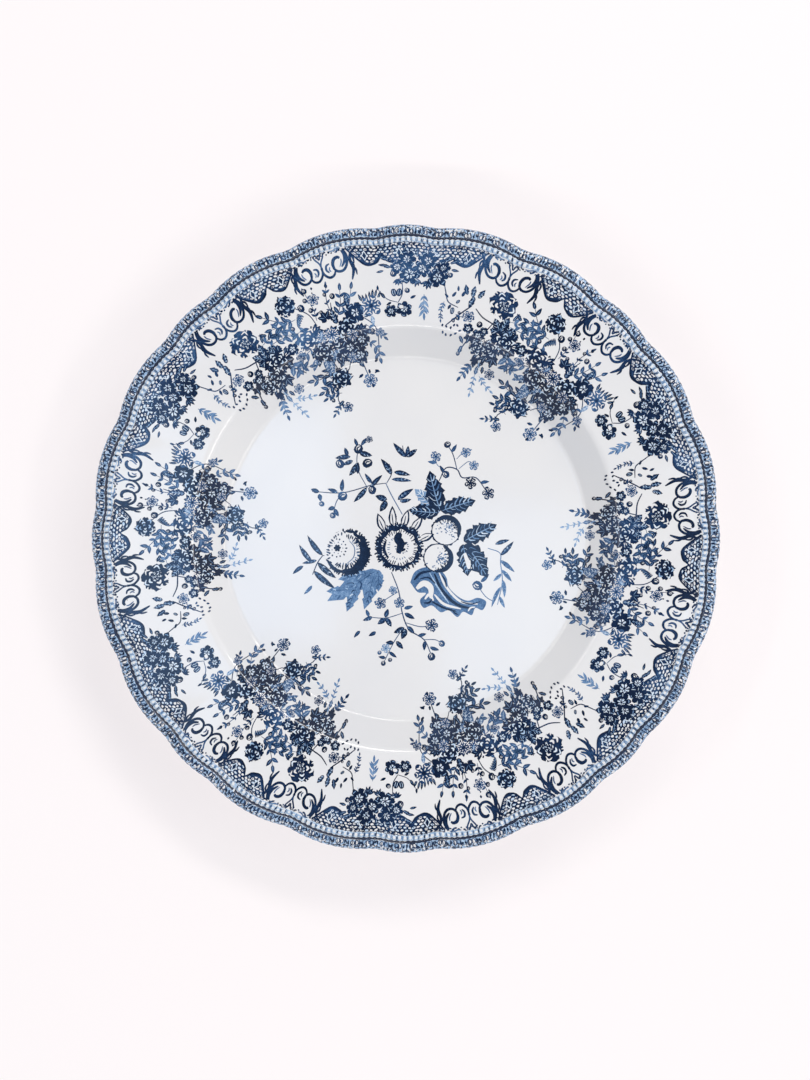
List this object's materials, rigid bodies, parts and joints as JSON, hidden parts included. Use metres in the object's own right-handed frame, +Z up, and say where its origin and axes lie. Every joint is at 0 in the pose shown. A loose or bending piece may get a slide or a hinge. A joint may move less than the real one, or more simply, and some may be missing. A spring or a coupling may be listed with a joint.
{
  "type": "dinner plate",
  "caption": "Porcelain dinner plate with a broad rim, a shaped and beaded edge, a foot ring and blue floral transfer prints under a clear glaze.",
  "frame": {"origin": "centre of the foot ring, on the surface that the plate stands on", "axes": "+Z up through the middle of the well; +X and +Y each pass through a narrow lobe of the shaped edge"},
  "size_m": [0.2586, 0.2586, 0.0255],
  "materials": {
    "china": "unglazed, matt",
    "glaze": "clear, glossy",
    "underglaze_ink": "cobalt blue, seen through the glaze"
  },
  "bodies": {
    "root": {"china_body": "china", "glaze_coat": "glaze", "recess_glaze": "glaze", "centre_print": "underglaze_ink", "border_print_1": "underglaze_ink", "border_print_2": "underglaze_ink", "border_print_3": "underglaze_ink", "border_print_4": "underglaze_ink", "border_print_5": "underglaze_ink", "border_print_6": "underglaze_ink"}
  },
  "joints": []
}
